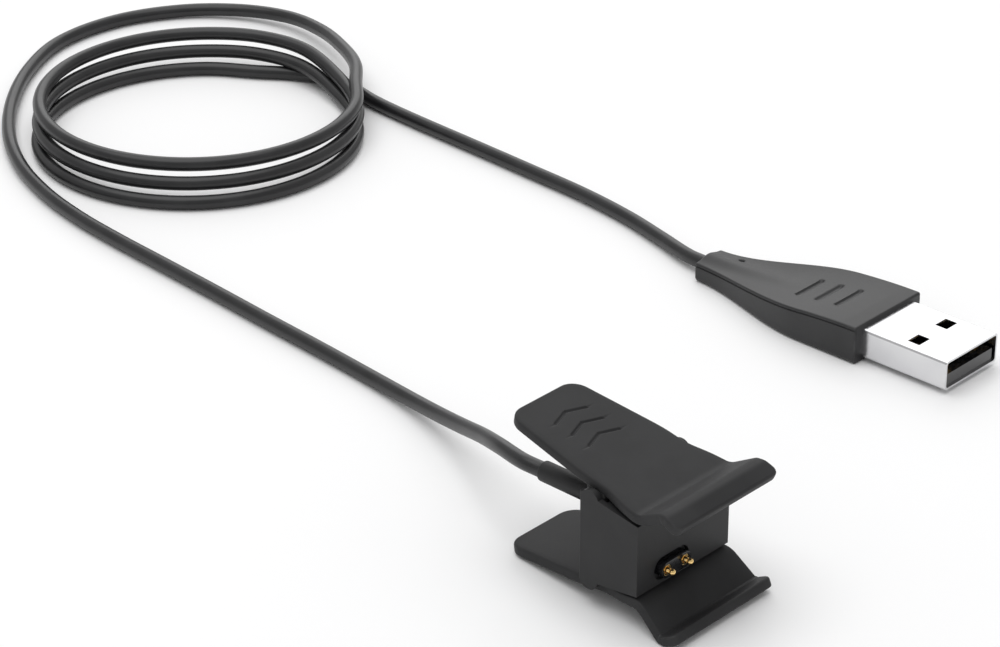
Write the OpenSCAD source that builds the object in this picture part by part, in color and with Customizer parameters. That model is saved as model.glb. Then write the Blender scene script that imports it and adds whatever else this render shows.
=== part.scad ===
// Charging cable for a slim wrist tracker.
// A spring clip with two sprung contact pins grips the tracker between its hooked jaws,
// and a coiled cord runs from the clip to a USB-A plug.
// Frame: millimetres, +Z up, Z = 0 is the table. The clip lies along Y, its contact face
// looks toward -Y and its middle is at X = 0. Right is +X.

/* [Clip core] */
// width of the core and of its contact face
core_w = 17.6; // [14:0.1:24]
// length of the core from its contact face to its back
core_len = 9.4; // [7.5:0.1:14]
// height of the contact face
face_h = 10; // [9:0.1:14]
// wall in front of the pins
front_wall = 1.5; // [1:0.1:2.5]
// side wall of the core
side_wall = 1.4; // [1:0.1:2.5]
// thinnest top and bottom wall of the core
cap_wall = 0.8; // [0.6:0.1:1.5]
// gap between the core and a closed jaw
jaw_gap = 0.28; // [0.15:0.01:0.6]

/* [Jaws] */
// thickness of a jaw plate
jaw_t = 1.4; // [1:0.1:2.2]
// length of the clip from the hook tips to the ends of the handles
clip_len = 31; // [26:0.5:40]
// how far the hook tips reach in front of the contact face
hook_reach = 7.1; // [5:0.1:10]
// how far in front of the contact face a jaw bulges most
bulge_reach = 4.4; // [3:0.1:6]
// width at the handle end, before rounding
handle_w = 12.8; // [10:0.1:18]
// width at the hook tips
hook_w = 19.3; // [15:0.1:26]
// outer height of the upper handle's end above the middle plane
upper_spread = 10.7; // [8:0.1:13]
// outer height of the upper jaw's bulge above the middle plane
upper_bulge = 8.75; // [7.5:0.05:11]
// outer height of the upper hook's tip above the middle plane
upper_tip = 7.8; // [7:0.1:10]
// height of the middle plane over the table: the lower jaw's handle end and bulge rest there
rest_drop = 9.7; // [8:0.1:13]
// how much the lower hook's tip lies above the table
lower_tip_rise = 1; // [0.5:0.1:2]
// corner radius at the handle ends
handle_r = 2.6; // [1:0.1:5]
// corner radius at the hook tips
hook_r = 0.9; // [0.4:0.1:3]
// how far each bend in a jaw is rounded
bend_round = 1.6; // [0.6:0.1:2.2]
// width of one grip chevron
chevron_w = 5.8; // [3:0.1:9]
// distance between grip chevrons
chevron_pitch = 2.8; // [2:0.1:4]
// depth of a grip chevron
chevron_depth = 0.25; // [0.1:0.05:0.5]

/* [Hinges] */
// diameter of the pivot pins
pivot_d = 1.2; // [0.8:0.1:2]
// height of a pivot over the middle plane
pivot_h = 4.8; // [4.5:0.1:6]
// distance from the core's back to the pivots
pivot_back = 1.5; // [1.3:0.1:3]
// running clearance of a jaw lug on its pin, on the radius
pivot_clear = 0.06; // [0.02:0.01:0.1]
// width of one jaw lug
lug_w = 2.4; // [1.5:0.1:4]
// thickness of an ear that holds a pin's end
ear_t = 0.8; // [0.6:0.1:1.5]
// radius of an ear
ear_r = 1.5; // [1.2:0.1:2.5]
// wire diameter of a jaw spring
spring_wire = 0.4; // [0.3:0.05:0.6]
// turns of a jaw spring
spring_turns = 10; // [5:1:14]

/* [Contacts] */
// distance between the two pins
pin_pitch = 3.4; // [2.5:0.1:5]
// sideways place of the pair
pin_x = -2.2; // [-4:0.1:4]
// height of the pins below the middle plane
pin_drop = 2.9; // [0:0.1:3]
// width of the contact island
island_w = 5.6; // [4.5:0.1:9]
// height of the contact island
island_h = 2.2; // [2:0.1:3]
// how far the island stands in front of the face
island_out = 0.8; // [0.2:0.1:1.5]
// groove around the island
groove_w = 0.5; // [0.3:0.05:1]
// depth of that groove
groove_depth = 0.6; // [0.3:0.1:1]
// diameter of a pin's barrel
barrel_d = 1.5; // [1.2:0.1:2]
// length of a pin's barrel
barrel_len = 4.2; // [3.8:0.1:6]
// diameter of a pin's ball tip
tip_d = 0.9; // [0.6:0.05:1.2]
// how far a tip stands out of its barrel
tip_out = 1.3; // [1:0.1:2]

/* [Cord and strain relief] */
// diameter of the cord
cord_d = 2.2; // [1.8:0.1:3]
// diameter of the strain relief sleeve
sleeve_d = 2.9; // [2.5:0.1:4.5]
// distance from the core's back to the sleeve's end
sleeve_len = 14; // [8:0.5:20]

/* [Plug] */
// sideways place of the plug
plug_x = 71; // [60:0.5:90]
// place of the plug's tip along the clip's direction
plug_tip_y = -1; // [-20:0.5:20]
// how far the metal shell shows
shell_out = 14.5; // [12:0.1:18]
// length of shell inside the moulding
shell_in = 4; // [2:0.1:6]
// length of the moulding
mould_len = 33; // [22:0.5:45]
// width of the moulding at the shell
mould_w = 15.2; // [14:0.1:20]
// height of the moulding at the shell
mould_h = 5.8; // [5.3:0.1:9]
// width of the moulding at the cord
neck_w = 6; // [4.5:0.1:9]
// height of the moulding at the cord
neck_h = 3.4; // [3:0.1:5]
// edge radius of the moulding
mould_r = 0.7; // [0.3:0.05:1.4]

/* [Hidden] */
$fn = 48;
mid_z = rest_drop;
tiny = 0.01;

// clip, along Y
hook_y = -clip_len / 2;
handle_y = clip_len / 2;
face_y = hook_y + hook_reach;
bulge_y = face_y - bulge_reach;
core_back = face_y + core_len;
pivot_y = core_back - pivot_back;

// jaw outline: the outer line's height at the contact face, and the handles' slopes
valley_h = face_h / 2 + jaw_gap + jaw_t;
bulge_flat = 1.2;
handle_run = handle_y - face_y;
upper_slope = (upper_spread - valley_h) / handle_run;
lower_slope = (rest_drop - valley_h) / handle_run;
bend_steps = 6;
ear_lobe_h = pivot_h + 0.8;
ear_in = core_w / 2 - ear_t;
notch_clear = 0.2;
notch_len = 2 * ear_r + 0.9;
lug_in = ear_in - 0.4 - lug_w;
lug_r = pivot_d / 2 + 0.8;
lug_clear = 0.2;
spring_r = pivot_d / 2 + spring_wire;
spring_gap = 0.1;
spring_angle = 50;
shelf_leg = 1;
shelf_leg_angle = -64;

// core inside
pocket_floor = pivot_h - lug_r - lug_clear;
pocket_y = pivot_y - lug_r - 0.9;
shelf_t = 0.6;
duct_h = pocket_floor - shelf_t;
duct_front = pocket_y - shelf_t;
cavity_w = core_w - 2 * side_wall;
cavity_h = face_h / 2 - cap_wall;
cavity_front = face_y + front_wall;
cover_t = 1;
pin_hole_depth = 0.55;
pin_end_gap = 0.05;

// contacts
pin_z = mid_z - pin_drop;
island_front = face_y - island_out;
flange_t = 1;
flange_w = island_w + 1.4;
flange_h = 2 * (cavity_h - pin_drop);
flange_back = cavity_front + flange_t;
board_t = 0.8;
barrel_front = island_front + 0.1;
barrel_wall = 0.3;
barrel_bore = barrel_d - 0.38;
mouth_d = tip_d + 0.04;
collar_d = barrel_bore - 0.08;
collar_len = 0.8;
collar_gap = 0.05;
stem_d = tip_d - 0.14;
pin_spring_wire = 0.14;
pin_spring_turns = 5;

// sleeve
sleeve_end = core_back + sleeve_len;
sleeve_flange_d = min(2 * duct_h - 0.4, sleeve_d + 1.9);
sleeve_chamfer = 0.3;
wire_d = 0.6;
wire_gap = 1.3;
wire_end_gap = 0.2;
wire_rise = 0.3;

// plug
shell_w = 12;
shell_h = 4.5;
shell_wall = 0.3;
shell_r = 0.5;
shell_inner_r = shell_r - shell_wall / 2;
shell_hole = [2.5, 2];
shell_hole_x = 3.2;
shell_hole_back = 6.8;
mould_front = plug_tip_y + shell_out;
mould_back = mould_front + mould_len;
shell_z = mould_h / 2;
neck_z = neck_h / 2;
tongue_h = 1.95;
tongue_setback = 0.3;
plug_clear = 0.05;
mould_rings = 22;
mould_corner_steps = 3;
flare_end = 0.68;
core_block_len = 9;
contact_w = 1;
contact_t = 0.25;
contact_xs = [-3.5, -1, 1, 3.5];
contact_starts = [1.6, 2.6, 2.6, 1.6];

// coil: three turns that lean on each other
coil_turns = 3;
coil_r = 25.3;
coil_centre = [53.9, 137.6];
coil_lean = [1.6, 1.5];
coil_half = cord_d / 2 + norm(coil_lean);

// height of the cord's middle where it lies on the table
lie = cord_d / 2 + 0.05;

// The cord from the sleeve down to the table, round the back of the coil and up onto it.
CLIP_RUN = [
    [0, sleeve_end, mid_z], [0, 18.5, mid_z], [1.7, 24, 9], [4.7, 30, 7], [7.8, 37, 4.6],
    [10.3, 44, 2.8], [12.2, 51, lie + 0.5], [13.6, 60, lie], [14.5, 70, lie], [15.4, 82, lie],
    [16.4, 94, lie], [17.3, 106, lie], [18.1, 117, lie], [19.2, 127, lie], [21.3, 137, lie],
    [25.2, 147.5, lie], [31.3, 157.5, lie], [40, 167, lie], [50.5, 175, lie], [61.5, 179.8, lie],
    [73.5, 179.6, lie], [83.8, 174.8, lie], [90.5, 167, lie], [93.2, 157.5, lie + 0.1],
    [91.5, 148, lie + 0.6], [87, 138.5, 3], [81.5, 130, 4.5]
];

// The cord from the coil's lowest turn to the plug.
PLUG_RUN = [
    [79.9, 124.5, lie], [79.3, 119, lie], [78.8, 111, lie], [78.3, 100, lie],
    [77.7, 88, lie], [77, 76, lie], [75.6, 66, lie], [plug_x + 2.5, 57.5, lie + 0.1],
    [plug_x + 0.4, mould_back + 4, lie + 0.4], [plug_x, mould_back, neck_z]
];

black = [0.05, 0.05, 0.055];
soft_black = [0.07, 0.07, 0.075];
gold = [0.93, 0.68, 0.3];
steel = [0.8, 0.8, 0.82];
board_green = [0.05, 0.25, 0.12];

// ---------- functions ----------

function unit(v) = v / norm(v);

// a bend at p between a and b, as a short curve
function bend(a, p, b) = [
    for (i = [0 : bend_steps])
        let (t = i / bend_steps,
             start = p + bend_round / 2 * unit(a - p),
             finish = p + bend_round / 2 * unit(b - p))
        (1 - t) * (1 - t) * start + 2 * t * (1 - t) * p + t * t * finish
];

// the line that lies distance d to the left of a path
function beside(path, d) = [
    for (i = [0 : len(path) - 1])
        let (a = path[max(i - 1, 0)],
             b = path[min(i + 1, len(path) - 1)],
             along = unit(b - a))
        path[i] + d * [-along[1], along[0]]
];

// outer line of a jaw in the (y, height) plane, from the handle's end to the hook's tip
function jaw_line(spread, bulge, tip) =
    let (handle = [handle_y, spread],
         valley = [face_y, valley_h],
         bulge_back = [bulge_y + bulge_flat / 2, bulge],
         bulge_front = [bulge_y - bulge_flat / 2, bulge],
         hook = [hook_y, tip])
    concat([handle], bend(handle, valley, bulge_back), [bulge_back, bulge_front, hook]);

// a point on a smooth curve through a list of points
function on_curve(points, i, t) =
    let (last = len(points) - 1,
         p0 = points[max(i - 1, 0)],
         p1 = points[i],
         p2 = points[min(i + 1, last)],
         p3 = points[min(i + 2, last)])
    0.5 * (2 * p1 + (p2 - p0) * t + (2 * p0 - 5 * p1 + 4 * p2 - p3) * t * t
           + (3 * p1 - p0 - 3 * p2 + p3) * t * t * t);

function smooth_route(points, per_span) = concat(
    [for (i = [0 : len(points) - 2]) for (k = [0 : per_span - 1]) on_curve(points, i, k / per_span)],
    [points[len(points) - 1]]
);

// how far a jaw spring's rear leg reaches before it meets the handle
function spring_leg(slope) =
    let (inner = valley_h - jaw_t / cos(atan(slope)) + slope * (pivot_y - face_y) - pivot_h,
         room = inner + slope * spring_r * sin(spring_angle) + spring_r * cos(spring_angle) - spring_wire * 0.65)
    room / (sin(spring_angle) - slope * cos(spring_angle));

// a jaw spring's wire: a short leg on the core's shelf, the turns, a long leg under the handle
function jaw_spring_line(reach) =
    let (from = shelf_leg_angle,
         to = spring_angle + 270 + 360 * (spring_turns - 1),
         steps = 14 * spring_turns,
         half = spring_turns * (spring_wire + spring_gap) / 2,
         first = spring_r * [cos(from), sin(from)] + shelf_leg * [sin(from), -cos(from)],
         last = spring_r * [cos(to), sin(to)] + reach * [-sin(to), cos(to)])
    concat(
        [[-half, first[0], first[1]]],
        [for (i = [0 : steps])
            let (a = from + (to - from) * i / steps)
            [-half + 2 * half * i / steps, spring_r * cos(a), spring_r * sin(a)]],
        [[half, last[0], last[1]]]
    );

// a helix along +Y
function coil_line(r, length, turns, per_turn) = [
    for (i = [0 : turns * per_turn])
        let (a = 360 * i / per_turn)
        [r * cos(a), length * i / (turns * per_turn), r * sin(a)]
];

// half width, height and middle height of the moulding at a share s from shell to cord
function ease(s) = s * s * (3 - 2 * s);
function flare(s) = 1 - ease(min(max((s - (1 - flare_end)) / flare_end, 0), 1));
function mould_half(s) = neck_w / 2 + (mould_w - neck_w) / 2 * flare(s);
function mould_top(s) = neck_h + (mould_h - neck_h) * (1 - ease(s));

// one cross-section of the moulding: a rectangle with rounded edges
function mould_ring(s) =
    let (w = mould_half(s), h = mould_top(s), y = mould_front + s * mould_len,
         corners = [[w, h, 0], [-w, h, 90], [-w, 0, 180], [w, 0, 270]])
    [for (c = corners) for (k = [0 : mould_corner_steps])
        let (a = c[2] + 90 * k / mould_corner_steps,
             x = (c[0] > 0 ? c[0] - mould_r : c[0] + mould_r) + mould_r * cos(a),
             z = (c[1] > 0 ? c[1] - mould_r : mould_r) + mould_r * sin(a))
        [plug_x + x, y, z]];

// ---------- shared shapes ----------

// one skin around a list of equal rings
module skin(rings) {
    n = len(rings[0]);
    m = len(rings);
    sides = [for (i = [0 : m - 2]) for (k = [0 : n - 1])
        [i * n + k, i * n + (k + 1) % n, (i + 1) * n + (k + 1) % n, (i + 1) * n + k]];
    ends = [[for (k = [n - 1 : -1 : 0]) k], [for (k = [0 : n - 1]) (m - 1) * n + k]];
    polyhedron([for (ring = rings) for (p = ring) p], concat(sides, ends));
}

// a round tube that follows a route; lift is a direction the route never takes
module tube(route, d, sides, lift = [0, 0, 1]) {
    last = len(route) - 1;
    skin([for (i = [0 : last])
        let (along = unit(route[min(i + 1, last)] - route[max(i - 1, 0)]),
             across = unit(cross(along, lift)),
             up = cross(across, along))
        [for (k = [0 : sides - 1])
            let (a = -360 * (k + 0.5) / sides)
            route[i] + d / 2 / cos(180 / sides) * (across * cos(a) + up * sin(a))]]);
}

// a slab with an outline in the (y, height) plane
module across_x(width) {
    rotate([90, 0, 90])
        translate([0, 0, -width / 2])
            linear_extrude(width)
                children();
}

module rod_x(d, length, y, z) {
    translate([-length / 2, y, z])
        rotate([0, 90, 0])
            cylinder(h = length, d = d);
}

module rod_y(d, from, to, x, z) {
    translate([x, from, z])
        rotate([-90, 0, 0])
            cylinder(h = to - from, d = d);
}

// a slot shape standing along Y, flat faces toward the front and back
module slot_y(width, height, from, to) {
    translate([pin_x, to, pin_z])
        rotate([90, 0, 0])
            linear_extrude(to - from)
                hull()
                    for (side = [-1, 1])
                        translate([side * (width - height) / 2, 0])
                            circle(d = height);
}

// the middle plane's frame, upright for the upper side and mirrored for the lower
module on_side(side) {
    translate([0, 0, mid_z])
        mirror([0, 0, side > 0 ? 0 : 1])
            children();
}

// ---------- core ----------

module ear_pair() {
    for (side = [-1, 1])
        translate([side * (core_w / 2 - ear_t / 2), 0, 0])
            across_x(ear_t)
                hull() {
                    translate([pivot_y, ear_lobe_h])
                        circle(r = ear_r);
                    translate([pivot_y, pocket_floor])
                        square([2 * ear_r, tiny], center = true);
                }
}

module core_side_cuts() {
    // open pocket for the lugs and spring
    translate([-ear_in, pocket_y, pocket_floor])
        cube([2 * ear_in, core_back - pocket_y + tiny, pivot_h + ear_r]);
    // blind holes for the ends of the pivot pin
    rod_x(pivot_d, 2 * (ear_in + pin_hole_depth), pivot_y, pivot_h);
}

module core_housing() {
    top = face_h / 2 + upper_slope * core_len;
    bottom = face_h / 2 + lower_slope * core_len;
    color(black)
        difference() {
            union() {
                translate([0, 0, mid_z])
                    across_x(core_w)
                        polygon([[face_y, -face_h / 2], [core_back, -bottom],
                                 [core_back, top], [face_y, face_h / 2]]);
                on_side(1)
                    ear_pair();
                on_side(-1)
                    ear_pair();
            }
            on_side(1)
                core_side_cuts();
            on_side(-1)
                core_side_cuts();
            // room for the board and wires, and the duct to the back
            translate([-cavity_w / 2, cavity_front, mid_z - cavity_h])
                cube([cavity_w, duct_front - cavity_front, 2 * cavity_h]);
            translate([-cavity_w / 2, duct_front - tiny, mid_z - duct_h])
                cube([cavity_w, core_back - duct_front + 2 * tiny, 2 * duct_h]);
            // window for the island, and the groove around it
            slot_y(island_w, island_h, face_y - tiny, cavity_front + tiny);
            slot_y(island_w + 2 * groove_w, island_h + 2 * groove_w, face_y - tiny, face_y + groove_depth);
        }
}

module core_rear_cover() {
    color(black)
        difference() {
            translate([-cavity_w / 2, core_back - cover_t, mid_z - duct_h])
                cube([cavity_w, cover_t, 2 * duct_h]);
            rod_y(sleeve_d, core_back - cover_t - tiny, core_back + tiny, 0, mid_z);
        }
}

// ---------- contacts ----------

module contact_carrier() {
    color(black)
        difference() {
            union() {
                slot_y(island_w, island_h, island_front, cavity_front);
                translate([pin_x - flange_w / 2, cavity_front, pin_z - flange_h / 2])
                    cube([flange_w, flange_t, flange_h]);
            }
            for (side = [-1, 1])
                rod_y(barrel_d, island_front - tiny, flange_back + tiny, pin_x + side * pin_pitch / 2, pin_z);
        }
}

module contact_board() {
    color(board_green)
        difference() {
            translate([pin_x - flange_w / 2, flange_back, pin_z - flange_h / 2])
                cube([flange_w, board_t, flange_h]);
            for (side = [-1, 1])
                rod_y(barrel_d, flange_back - tiny, flange_back + board_t + tiny,
                      pin_x + side * pin_pitch / 2, pin_z);
        }
}

module pin_barrel(side) {
    x = pin_x + side * pin_pitch / 2;
    color(gold)
        difference() {
            rod_y(barrel_d, barrel_front, barrel_front + barrel_len, x, pin_z);
            rod_y(barrel_bore, barrel_front + barrel_wall, barrel_front + barrel_len - barrel_wall, x, pin_z);
            rod_y(mouth_d, barrel_front - tiny, barrel_front + barrel_wall + tiny, x, pin_z);
        }
}

module pin_plunger(side) {
    x = pin_x + side * pin_pitch / 2;
    collar_front = barrel_front + barrel_wall + collar_gap;
    tip_y = barrel_front - tip_out + tip_d / 2;
    color(gold)
        union() {
            rod_y(collar_d, collar_front, collar_front + collar_len, x, pin_z);
            rod_y(stem_d, tip_y, collar_front + tiny, x, pin_z);
            translate([x, tip_y, pin_z])
                rotate([90, 0, 0])
                    sphere(d = tip_d);
        }
}

module pin_spring(side) {
    start = barrel_front + barrel_wall + collar_gap + collar_len + pin_spring_wire / 2;
    finish = barrel_front + barrel_len - barrel_wall - pin_spring_wire / 2;
    line = coil_line((collar_d - 2 * pin_spring_wire) / 2, finish - start, pin_spring_turns, 10);
    color(steel)
        translate([pin_x + side * pin_pitch / 2, start, pin_z])
            tube(line, pin_spring_wire, 6, [0, 1, 0]);
}

module inner_wire(side) {
    back = core_back - 2 * cover_t - wire_end_gap;
    front = barrel_front + barrel_len + wire_end_gap;
    x = pin_x + side * pin_pitch / 2;
    // a wire climbs over the front edge of the duct's floor
    over = max(pin_z, mid_z - duct_h + wire_d / 2 + wire_rise);
    route = [[x, front, pin_z], [x, duct_front, over],
             [(x + side * wire_gap / 2) / 2, (duct_front + back) / 2, (over + mid_z) / 2],
             [side * wire_gap / 2, back - 0.6, mid_z], [side * wire_gap / 2, back, mid_z]];
    color(side > 0 ? [0.6, 0.06, 0.05] : soft_black)
        tube(smooth_route(route, 3), wire_d, 8);
}

module strain_relief() {
    flange_front = core_back - 2 * cover_t;
    color(soft_black)
        union() {
            rod_y(sleeve_flange_d, flange_front, core_back - cover_t, 0, mid_z);
            rod_y(sleeve_d, core_back - cover_t - tiny, sleeve_end - sleeve_chamfer, 0, mid_z);
            translate([0, sleeve_end - sleeve_chamfer, mid_z])
                rotate([-90, 0, 0])
                    cylinder(h = sleeve_chamfer, d1 = sleeve_d, d2 = sleeve_d - 2 * sleeve_chamfer);
        }
}

// ---------- jaws ----------

module chevron() {
    arm = chevron_w / 2;
    drop = arm / 3;
    stroke = 0.45;
    polygon([[0, 0], [arm, -drop], [arm, -drop - stroke], [0, -stroke], [-arm, -drop - stroke], [-arm, -drop]]);
}

module jaw_plan() {
    hull() {
        for (side = [-1, 1]) {
            translate([side * (handle_w / 2 - handle_r), handle_y - handle_r])
                circle(r = handle_r);
            translate([side * (hook_w / 2 - hook_r), hook_y + hook_r])
                circle(r = hook_r);
        }
    }
}

// one jaw in the middle plane's frame, on its positive side
module jaw(line, slope) {
    inner_at_pivot = valley_h - jaw_t + slope * (pivot_y - face_y);
    difference() {
        union() {
            intersection() {
                across_x(hook_w + 1)
                    polygon(concat(line, [for (i = [len(line) - 1 : -1 : 0]) beside(line, jaw_t)[i]]));
                linear_extrude(upper_spread + rest_drop)
                    jaw_plan();
            }
            for (side = [-1, 1])
                translate([side * (lug_in + lug_w / 2), 0, 0]) {
                    rod_x(2 * lug_r, lug_w, pivot_y, pivot_h);
                    translate([-lug_w / 2, pivot_y - lug_r, pivot_h])
                        cube([lug_w, 2 * lug_r, inner_at_pivot - pivot_h + jaw_t / 2]);
                }
        }
        rod_x(pivot_d + 2 * pivot_clear, core_w, pivot_y, pivot_h);
        for (side = [-1, 1])
            translate([side * (ear_in - notch_clear) - (side > 0 ? 0 : hook_w),
                       pivot_y - notch_len / 2 - 0.1, 0])
                cube([hook_w, notch_len, upper_spread + rest_drop]);
        translate([0, handle_y, line[0][1]])
            rotate([atan(slope), 0, 0])
                for (i = [0 : 2])
                    translate([0, -4.2 - i * chevron_pitch, -chevron_depth])
                        linear_extrude(1)
                            chevron();
    }
}

module upper_jaw() {
    color(soft_black)
        on_side(1)
            jaw(jaw_line(upper_spread, upper_bulge, upper_tip), upper_slope);
}

module lower_jaw() {
    color(soft_black)
        on_side(-1)
            jaw(jaw_line(rest_drop, rest_drop, rest_drop - lower_tip_rise), lower_slope);
}

module pivot_pin(side) {
    color(steel)
        on_side(side)
            rod_x(pivot_d, 2 * (ear_in + pin_hole_depth - pin_end_gap), pivot_y, pivot_h);
}

module jaw_spring(side, slope) {
    color(steel)
        on_side(side)
            translate([0, pivot_y, pivot_h])
                tube(jaw_spring_line(spring_leg(slope)), spring_wire, 6, [1, 0, 0]);
}

// ---------- cord ----------

module cord_clip_run() {
    color(soft_black)
        tube(smooth_route(CLIP_RUN, 2), cord_d, 8);
}

module cord_plug_run() {
    color(soft_black)
        tube(smooth_route(PLUG_RUN, 2), cord_d, 8);
}

module cord_coil() {
    color(soft_black)
        translate([coil_centre[0], coil_centre[1], 0])
            rotate_extrude($fn = 72)
                translate([coil_r - coil_half, 0])
                    square([2 * coil_half, coil_turns * cord_d]);
}

// ---------- plug ----------

module plug_mould() {
    color(soft_black)
        difference() {
            skin([for (i = [mould_rings : -1 : 0]) mould_ring(i / mould_rings)]);
            translate([plug_x, mould_front, shell_z])
                plug_bar(shell_w, shell_h, shell_r, -tiny, shell_in);
            translate([plug_x - shell_w / 2 + 1, mould_front + shell_in - tiny, shell_z - shell_h / 2 + 0.6])
                cube([shell_w - 2, core_block_len - shell_in + tiny, shell_h - 1.2]);
        }
}

// a bar with rounded long edges, along +Y
module plug_bar(width, height, r, from, to) {
    translate([0, to, 0])
        rotate([90, 0, 0])
            linear_extrude(to - from)
                hull()
                    for (x = [-1, 1], z = [-1, 1])
                        translate([x * (width / 2 - r), z * (height / 2 - r)])
                            circle(r = r, $fn = 24);
}

module plug_shell() {
    color(steel)
        difference() {
            translate([plug_x, mould_front, shell_z])
                plug_bar(shell_w, shell_h, shell_r, -shell_out, shell_in);
            translate([plug_x, mould_front, shell_z])
                plug_bar(shell_w - 2 * shell_wall, shell_h - 2 * shell_wall, shell_inner_r,
                         -shell_out - tiny, shell_in + tiny);
            for (side = [-1, 1])
                translate([plug_x + side * shell_hole_x - shell_hole[0] / 2,
                           plug_tip_y + shell_hole_back - shell_hole[1] / 2, 0])
                    cube([shell_hole[0], shell_hole[1], mould_h]);
        }
}

// the insulating block that fills the back of the shell and runs into the moulding
module plug_core_block() {
    inner_w = shell_w - 2 * shell_wall;
    inner_h = shell_h - 2 * shell_wall;
    color(soft_black)
        union() {
            translate([plug_x - inner_w / 2 + shell_r, mould_front, shell_z - inner_h / 2])
                cube([inner_w - 2 * shell_r, shell_in, inner_h]);
            translate([plug_x - shell_w / 2 + 1, mould_front + shell_in, shell_z - shell_h / 2 + 0.6])
                cube([shell_w - 2, core_block_len - shell_in, shell_h - 1.2]);
        }
}

module plug_tongue() {
    inner_w = shell_w - 2 * shell_wall - 2 * plug_clear;
    bottom = shell_z - shell_h / 2 + shell_wall;
    color(soft_black)
        difference() {
            translate([plug_x - inner_w / 2 + shell_inner_r, plug_tip_y + tongue_setback, bottom])
                cube([inner_w - 2 * shell_inner_r, shell_out - tongue_setback, tongue_h]);
            for (i = [0 : 3])
                contact_strip(i);
        }
}

module contact_strip(i) {
    top = shell_z - shell_h / 2 + shell_wall + tongue_h;
    translate([plug_x + contact_xs[i] - contact_w / 2, plug_tip_y + contact_starts[i], top - contact_t])
        cube([contact_w, shell_out - contact_starts[i], contact_t]);
}

module plug_contact(i) {
    color(gold)
        contact_strip(i);
}

core_housing();
core_rear_cover();
contact_carrier();
contact_board();
pin_barrel(-1);  // pin_barrel_left
pin_barrel(1);  // pin_barrel_right
pin_plunger(-1);  // pin_plunger_left
pin_plunger(1);  // pin_plunger_right
pin_spring(-1);  // pin_spring_left
pin_spring(1);  // pin_spring_right
strain_relief();
inner_wire(1);  // wire_power
inner_wire(-1);  // wire_return
upper_jaw();
lower_jaw();
pivot_pin(1);  // upper_pivot_pin
pivot_pin(-1);  // lower_pivot_pin
jaw_spring(1, upper_slope);  // upper_spring
jaw_spring(-1, lower_slope);  // lower_spring
cord_clip_run();
cord_coil();
cord_plug_run();
plug_mould();
plug_core_block();
plug_shell();
plug_tongue();
plug_contact(0);  // plug_contact_1
plug_contact(1);  // plug_contact_2
plug_contact(2);  // plug_contact_3
plug_contact(3);  // plug_contact_4
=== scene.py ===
import bmesh
import bpy
import math
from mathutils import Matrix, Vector


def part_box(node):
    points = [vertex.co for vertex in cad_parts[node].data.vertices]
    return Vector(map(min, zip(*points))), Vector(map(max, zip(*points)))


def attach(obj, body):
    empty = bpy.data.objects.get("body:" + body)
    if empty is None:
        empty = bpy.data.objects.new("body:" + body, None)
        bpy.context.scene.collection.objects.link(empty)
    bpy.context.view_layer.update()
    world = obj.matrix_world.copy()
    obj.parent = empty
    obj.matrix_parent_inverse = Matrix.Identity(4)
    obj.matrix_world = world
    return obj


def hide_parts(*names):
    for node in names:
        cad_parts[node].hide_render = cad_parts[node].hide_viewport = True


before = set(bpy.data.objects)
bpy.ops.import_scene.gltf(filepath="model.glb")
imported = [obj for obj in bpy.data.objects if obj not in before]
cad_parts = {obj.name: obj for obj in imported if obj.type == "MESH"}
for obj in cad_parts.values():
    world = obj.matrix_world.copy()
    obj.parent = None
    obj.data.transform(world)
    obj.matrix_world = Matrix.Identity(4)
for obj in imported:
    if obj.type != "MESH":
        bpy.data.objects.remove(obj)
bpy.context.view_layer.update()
mm = 0.001
print("frame loaded:", len(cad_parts), "nodes")


# camera

cameraSettings = {
    "place": (-0.28662, -0.24229, 0.23565),
    "looking": (0.64858, 0.59912, -0.46947),
    "lens": 126, "sensor": 36,
    "nearest": 0.01, "farthest": 20,
}


def makeCamera(settings):
    data = bpy.data.cameras.new("productCamera")
    data.lens = settings["lens"]
    data.sensor_width = settings["sensor"]
    data.clip_start = settings["nearest"]
    data.clip_end = settings["farthest"]
    camera = bpy.data.objects.new("productCamera", data)
    bpy.context.scene.collection.objects.link(camera)
    camera.location = settings["place"]
    camera.rotation_mode = "QUATERNION"
    camera.rotation_quaternion = Vector(settings["looking"]).to_track_quat("-Z", "Y")
    bpy.context.scene.camera = camera


makeCamera(cameraSettings)


# cord

cordSizes = {
    "diameter": 2.2,
    "turns": 3,
    "ringRadius": 25.3,
    "topCentre": (55.5, 139.1),
    "lean": (1.6, 1.5),       # each lower turn lies this much nearer
    "topHeight": 5.5,
    "pointsPerTurn": 18,
    "firstAngle": -36,
    "lastShort": 22,          # the last turn stops this far short of a full circle
    "dropFrom": 15,           # a turn steps down between these angles
    "dropTo": -30,
}

clipRun = [
    (0, 13.6, 9.7), (0, 15, 9.7), (0, 18.5, 9.7), (1.7, 24, 9), (4.7, 30, 7), (7.8, 37, 4.6),
    (10.3, 44, 2.8), (12.2, 51, 1.65), (13.6, 60, 1.15), (14.5, 70, 1.15), (15.4, 82, 1.15),
    (16.4, 94, 1.15), (17.3, 106, 1.15), (18.1, 117, 1.15), (19.2, 127, 1.15), (21.3, 137, 1.15),
    (25.2, 147.5, 1.15), (31.3, 157.5, 1.15), (40, 167, 1.15), (50.5, 175, 1.15),
    (61.5, 179.8, 1.15), (73.5, 179.6, 1.15), (83.8, 174.8, 1.2), (90.5, 167, 1.5),
    (93.2, 157.5, 2.1), (91.6, 148, 2.9), (87.4, 138.7, 3.9), (82.3, 130.7, 4.9),
]
coilExit = [(78.6, 141.8, 1.12), (80.9, 136.2, 1.12), (81, 130, 1.12)]
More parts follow.
